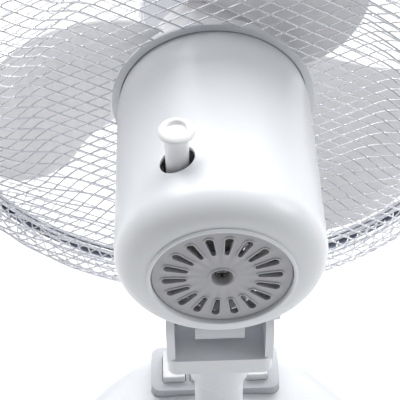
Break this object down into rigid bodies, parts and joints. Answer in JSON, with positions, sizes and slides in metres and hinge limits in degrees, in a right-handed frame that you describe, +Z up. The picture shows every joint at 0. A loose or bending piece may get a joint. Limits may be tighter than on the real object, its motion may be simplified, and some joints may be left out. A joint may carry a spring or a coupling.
{
  "type": "desk fan",
  "caption": "Oscillating desk fan: round weighted base with push buttons, column, tilting and swivelling motor head with slotted vent, wire mesh guards and swept blades.",
  "frame": {"origin": "on the table, at the underside of the feet, under the middle of the fan box, 30 mm in front of the column", "axes": "+Z up, the blade blows towards -Y, the slotted motor vent faces +Y, +X to the right seen from the front"},
  "size_m": [0.368, 0.296, 0.494],
  "materials": {
    "housing_white": "glossy white moulding",
    "pale_plastic": "satin pale grey moulding",
    "blade_plastic": "pale grey-white moulding",
    "guard_wire": "bright plated wire",
    "rim_slate": "dark slate moulding",
    "steel": "plated steel",
    "lamination": "laminated sheet, oiled",
    "winding": "varnished copper wire",
    "cast_alloy": "die-cast, as cast",
    "bush_bronze": "sintered bronze",
    "nylon": "natural nylon",
    "ballast_iron": "raw casting",
    "dark_plastic": "black moulding",
    "button_white": "glossy white moulding",
    "rubber_black": "matt rubber"
  },
  "bodies": {
    "base": {"column": "housing_white", "column_collar": "housing_white", "base_cover": "housing_white", "base_plate": "dark_plastic", "base_weight": "ballast_iron", "foot_1": "rubber_black", "foot_2": "rubber_black", "foot_3": "rubber_black", "foot_4": "rubber_black", "switch_panel": "pale_plastic", "switch_block": "dark_plastic", "cable_grommet": "rubber_black", "neck_fork": "housing_white", "tilt_bush_left": "dark_plastic", "tilt_bush_right": "dark_plastic", "tilt_pin_left": "steel", "tilt_pin_right": "steel"},
    "tilt_block": {"tilt_block": "pale_plastic", "swivel_post": "steel", "swivel_set_screw": "steel", "link_post": "steel"},
    "head": {"motor_cover": "housing_white", "rear_vent_disc": "pale_plastic", "cover_screw": "steel", "motor_front_bracket": "cast_alloy", "motor_rear_bracket": "cast_alloy", "stator_core": "lamination", "stator_winding": "winding", "motor_bolt_1": "steel", "motor_bolt_2": "steel", "motor_bolt_3": "steel", "motor_bolt_4": "steel", "front_bush": "bush_bronze", "rear_bush": "bush_bronze", "gearbox_case": "cast_alloy", "gearbox_lid": "cast_alloy", "capacitor": "dark_plastic", "guard_hub_plate": "housing_white", "guard_ring_nut": "rim_slate", "rear_guard": "guard_wire", "front_guard": "guard_wire", "guard_band": "rim_slate", "band_screw": "steel", "front_badge": "housing_white"},
    "rotor": {"motor_shaft": "steel", "drive_worm": "steel", "rotor_core": "lamination", "drive_pin": "steel", "fan_blade": "blade_plastic", "blade_nut": "blade_plastic"},
    "worm_wheel": {"worm_wheel": "nylon"},
    "clutch_pinion": {"clutch_pinion": "steel"},
    "crank": {"crank_gear": "nylon"},
    "link": {"oscillation_link": "steel"},
    "knob": {"oscillation_knob": "housing_white", "clutch_rod": "steel"},
    "button_0": {"button_0": "button_white"},
    "button_1": {"button_1": "button_white"},
    "button_2": {"button_2": "button_white"},
    "button_3": {"button_3": "button_white"}
  },
  "joints": [
    {"name": "tilt", "type": "hinge", "parent": "base", "child": "tilt_block", "pos_m": [0, 0.03, 0.22], "axis": [1, 0, 0], "range_deg": [-25, 10]},
    {"name": "oscillation", "type": "hinge", "parent": "tilt_block", "child": "head", "pos_m": [0, 0.03, 0.26], "axis": [0, 0, 1], "range_deg": [-35, 35]},
    {"name": "blade_spin", "type": "hinge", "parent": "head", "child": "rotor", "pos_m": [0, -0.086, 0.31], "axis": [0, 1, 0], "continuous": true},
    {"name": "worm_wheel_turn", "type": "hinge", "parent": "head", "child": "worm_wheel", "pos_m": [0.0221, 0.0389, 0.31], "axis": [0, 0, 1], "continuous": true},
    {"name": "pinion_turn", "type": "hinge", "parent": "head", "child": "clutch_pinion", "pos_m": [0.0221, 0.0389, 0.296], "axis": [0, 0, 1], "range_deg": [-86, 86]},
    {"name": "crank_turn", "type": "hinge", "parent": "head", "child": "crank", "pos_m": [0.004, 0.05, 0.296], "axis": [0, 0, 1], "range_deg": [-52, 52]},
    {"name": "link_swing", "type": "hinge", "parent": "tilt_block", "child": "link", "pos_m": [0.01, 0.0384, 0.278], "axis": [0, 0, 1], "range_deg": [-47, 47]},
    {"name": "knob_pull", "type": "slide", "parent": "head", "child": "knob", "axis": [0, 0, 1], "range_m": [-0.008, 0]},
    {"name": "button_0_press", "type": "slide", "parent": "base", "child": "button_0", "axis": [0, 0, -1], "range_m": [0, 0.004], "stiffness_N_per_m": 400, "springref_m": -0.003},
    {"name": "button_1_press", "type": "slide", "parent": "base", "child": "button_1", "axis": [0, 0, -1], "range_m": [0, 0.004], "stiffness_N_per_m": 400, "springref_m": -0.003},
    {"name": "button_2_press", "type": "slide", "parent": "base", "child": "button_2", "axis": [0, 0, -1], "range_m": [0, 0.004], "stiffness_N_per_m": 400, "springref_m": -0.003},
    {"name": "button_3_press", "type": "slide", "parent": "base", "child": "button_3", "axis": [0, 0, -1], "range_m": [0, 0.004], "stiffness_N_per_m": 400, "springref_m": -0.003}
  ],
  "couplings": [
    {"joint": "worm_wheel_turn", "follows": "blade_spin", "ratio": -0.03125},
    {"joint": "crank_turn", "follows": "oscillation", "ratio": -1.411},
    {"joint": "pinion_turn", "follows": "oscillation", "ratio": 2.352},
    {"joint": "link_swing", "follows": "oscillation", "ratio": 1.237}
  ]
}
